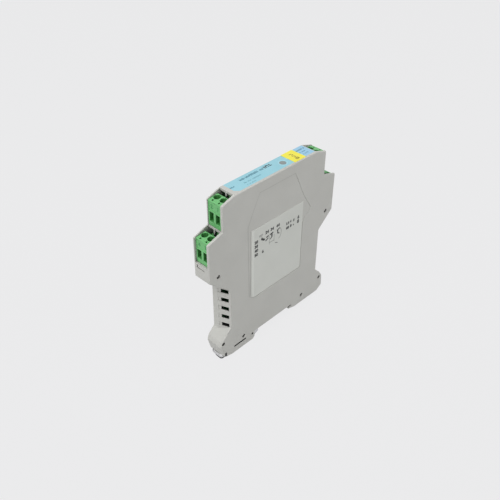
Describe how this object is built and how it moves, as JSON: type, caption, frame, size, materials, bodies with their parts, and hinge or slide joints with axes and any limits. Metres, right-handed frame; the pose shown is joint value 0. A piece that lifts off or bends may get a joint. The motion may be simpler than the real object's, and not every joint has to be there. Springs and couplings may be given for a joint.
{
  "type": "temperature transmitter",
  "caption": "Slim temperature transmitter for a mounting rail: stepped grey housing, green plug-in screw terminals, vented corners, metal foot catch.",
  "frame": {"origin": "middle of the flat seat that rests on the front of the mounting rail", "axes": "+Z away from the rail towards the labelled front, +X along the long side from the sprung catch to the fixed hook, +Y from the side cover to the closed side"},
  "size_m": [0.11, 0.0126, 0.1191],
  "materials": {
    "housing": "light grey moulded plastic, fine texture",
    "label_blue": "printed film, satin",
    "label_silver": "printed film, satin",
    "marker_yellow": "printed film, satin",
    "light_guide": "smoky clear plastic",
    "terminal_green": "green moulded plastic",
    "board_green": "solder mask",
    "plated_steel": "zinc plated",
    "tinned_brass": "tinned",
    "chip_black": "moulded epoxy",
    "chip_white": "moulded epoxy",
    "resistor": "ceramic",
    "crystal_can": "drawn can",
    "capacitor": "moulded resin",
    "led": "tinted clear resin"
  },
  "bodies": {
    "housing": {"housing_shell": "housing", "side_cover": "housing", "front_label": "label_blue", "marker_tag": "marker_yellow", "light_pipe": "light_guide", "side_label": "label_silver", "circuit_board": "board_green", "header_upper_left": "terminal_green", "header_upper_right": "terminal_green", "header_lower_left": "terminal_green", "header_lower_right": "terminal_green", "header_pins_upper_left": "tinned_brass", "header_pins_upper_right": "tinned_brass", "header_pins_lower_left": "tinned_brass", "header_pins_lower_right": "tinned_brass", "isolation_transformer": "chip_black", "microcontroller": "chip_black", "converter_chip": "chip_black", "optocoupler": "chip_white", "loop_inductor": "chip_black", "storage_capacitors": "capacitor", "loop_regulator": "chip_black", "quartz_crystal": "crystal_can", "suppressor_diodes": "chip_black", "chip_resistors": "resistor", "status_led": "led"},
    "foot_catch": {"foot_catch": "plated_steel"},
    "plug_upper_left": {"plug_upper_left": "terminal_green", "plug_contacts_upper_left": "tinned_brass"},
    "screw_upper_left_a": {"screw_upper_left_a": "plated_steel"},
    "cage_upper_left_a": {"cage_upper_left_a": "plated_steel"},
    "screw_upper_left_b": {"screw_upper_left_b": "plated_steel"},
    "cage_upper_left_b": {"cage_upper_left_b": "plated_steel"},
    "plug_upper_right": {"plug_upper_right": "terminal_green", "plug_contacts_upper_right": "tinned_brass"},
    "screw_upper_right_a": {"screw_upper_right_a": "plated_steel"},
    "cage_upper_right_a": {"cage_upper_right_a": "plated_steel"},
    "screw_upper_right_b": {"screw_upper_right_b": "plated_steel"},
    "cage_upper_right_b": {"cage_upper_right_b": "plated_steel"},
    "plug_lower_left": {"plug_lower_left": "terminal_green", "plug_contacts_lower_left": "tinned_brass"},
    "screw_lower_left_a": {"screw_lower_left_a": "plated_steel"},
    "cage_lower_left_a": {"cage_lower_left_a": "plated_steel"},
    "screw_lower_left_b": {"screw_lower_left_b": "plated_steel"},
    "cage_lower_left_b": {"cage_lower_left_b": "plated_steel"},
    "plug_lower_right": {"plug_lower_right": "terminal_green", "plug_contacts_lower_right": "tinned_brass"},
    "screw_lower_right_a": {"screw_lower_right_a": "plated_steel"},
    "cage_lower_right_a": {"cage_lower_right_a": "plated_steel"},
    "screw_lower_right_b": {"screw_lower_right_b": "plated_steel"},
    "cage_lower_right_b": {"cage_lower_right_b": "plated_steel"}
  },
  "joints": [
    {"name": "unplug_upper_left", "type": "slide", "parent": "housing", "child": "plug_upper_left", "axis": [-1, 0, 0], "range_m": [0, 0.02]},
    {"name": "turn_upper_left_a", "type": "hinge", "parent": "plug_upper_left", "child": "screw_upper_left_a", "pos_m": [-0.0389, -0.0025, 0.10458], "axis": [0, 0, -1], "range_deg": [0, 1842]},
    {"name": "clamp_upper_left_a", "type": "slide", "parent": "plug_upper_left", "child": "cage_upper_left_a", "axis": [0, 0, 1], "range_m": [0, 0.0023]},
    {"name": "turn_upper_left_b", "type": "hinge", "parent": "plug_upper_left", "child": "screw_upper_left_b", "pos_m": [-0.0389, 0.0025, 0.10458], "axis": [0, 0, -1], "range_deg": [0, 1842]},
    {"name": "clamp_upper_left_b", "type": "slide", "parent": "plug_upper_left", "child": "cage_upper_left_b", "axis": [0, 0, 1], "range_m": [0, 0.0023]},
    {"name": "unplug_upper_right", "type": "slide", "parent": "housing", "child": "plug_upper_right", "axis": [1, 0, 0], "range_m": [0, 0.02]},
    {"name": "turn_upper_right_a", "type": "hinge", "parent": "plug_upper_right", "child": "screw_upper_right_a", "pos_m": [0.0389, -0.0025, 0.10458], "axis": [0, 0, -1], "range_deg": [0, 1842]},
    {"name": "clamp_upper_right_a", "type": "slide", "parent": "plug_upper_right", "child": "cage_upper_right_a", "axis": [0, 0, 1], "range_m": [0, 0.0023]},
    {"name": "turn_upper_right_b", "type": "hinge", "parent": "plug_upper_right", "child": "screw_upper_right_b", "pos_m": [0.0389, 0.0025, 0.10458], "axis": [0, 0, -1], "range_deg": [0, 1842]},
    {"name": "clamp_upper_right_b", "type": "slide", "parent": "plug_upper_right", "child": "cage_upper_right_b", "axis": [0, 0, 1], "range_m": [0, 0.0023]},
    {"name": "unplug_lower_left", "type": "slide", "parent": "housing", "child": "plug_lower_left", "axis": [-1, 0, 0], "range_m": [0, 0.02]},
    {"name": "turn_lower_left_a", "type": "hinge", "parent": "plug_lower_left", "child": "screw_lower_left_a", "pos_m": [-0.0491, -0.0025, 0.08437], "axis": [0, 0, -1], "range_deg": [0, 1842]},
    {"name": "clamp_lower_left_a", "type": "slide", "parent": "plug_lower_left", "child": "cage_lower_left_a", "axis": [0, 0, 1], "range_m": [0, 0.0023]},
    {"name": "turn_lower_left_b", "type": "hinge", "parent": "plug_lower_left", "child": "screw_lower_left_b", "pos_m": [-0.0491, 0.0025, 0.08437], "axis": [0, 0, -1], "range_deg": [0, 1842]},
    {"name": "clamp_lower_left_b", "type": "slide", "parent": "plug_lower_left", "child": "cage_lower_left_b", "axis": [0, 0, 1], "range_m": [0, 0.0023]},
    {"name": "unplug_lower_right", "type": "slide", "parent": "housing", "child": "plug_lower_right", "axis": [1, 0, 0], "range_m": [0, 0.02]},
    {"name": "turn_lower_right_a", "type": "hinge", "parent": "plug_lower_right", "child": "screw_lower_right_a", "pos_m": [0.0491, -0.0025, 0.08437], "axis": [0, 0, -1], "range_deg": [0, 1842]},
    {"name": "clamp_lower_right_a", "type": "slide", "parent": "plug_lower_right", "child": "cage_lower_right_a", "axis": [0, 0, 1], "range_m": [0, 0.0023]},
    {"name": "turn_lower_right_b", "type": "hinge", "parent": "plug_lower_right", "child": "screw_lower_right_b", "pos_m": [0.0491, 0.0025, 0.08437], "axis": [0, 0, -1], "range_deg": [0, 1842]},
    {"name": "clamp_lower_right_b", "type": "slide", "parent": "plug_lower_right", "child": "cage_lower_right_b", "axis": [0, 0, 1], "range_m": [0, 0.0023]},
    {"name": "release_catch", "type": "slide", "parent": "housing", "child": "foot_catch", "axis": [-1, 0, 0], "range_m": [0, 0.0045]}
  ],
  "couplings": [
    {"joint": "turn_upper_left_a", "follows": "clamp_upper_left_a", "rad_per_m": 13963},
    {"joint": "turn_upper_left_b", "follows": "clamp_upper_left_b", "rad_per_m": 13963},
    {"joint": "turn_upper_right_a", "follows": "clamp_upper_right_a", "rad_per_m": 13963},
    {"joint": "turn_upper_right_b", "follows": "clamp_upper_right_b", "rad_per_m": 13963},
    {"joint": "turn_lower_left_a", "follows": "clamp_lower_left_a", "rad_per_m": 13963},
    {"joint": "turn_lower_left_b", "follows": "clamp_lower_left_b", "rad_per_m": 13963},
    {"joint": "turn_lower_right_a", "follows": "clamp_lower_right_a", "rad_per_m": 13963},
    {"joint": "turn_lower_right_b", "follows": "clamp_lower_right_b", "rad_per_m": 13963}
  ]
}
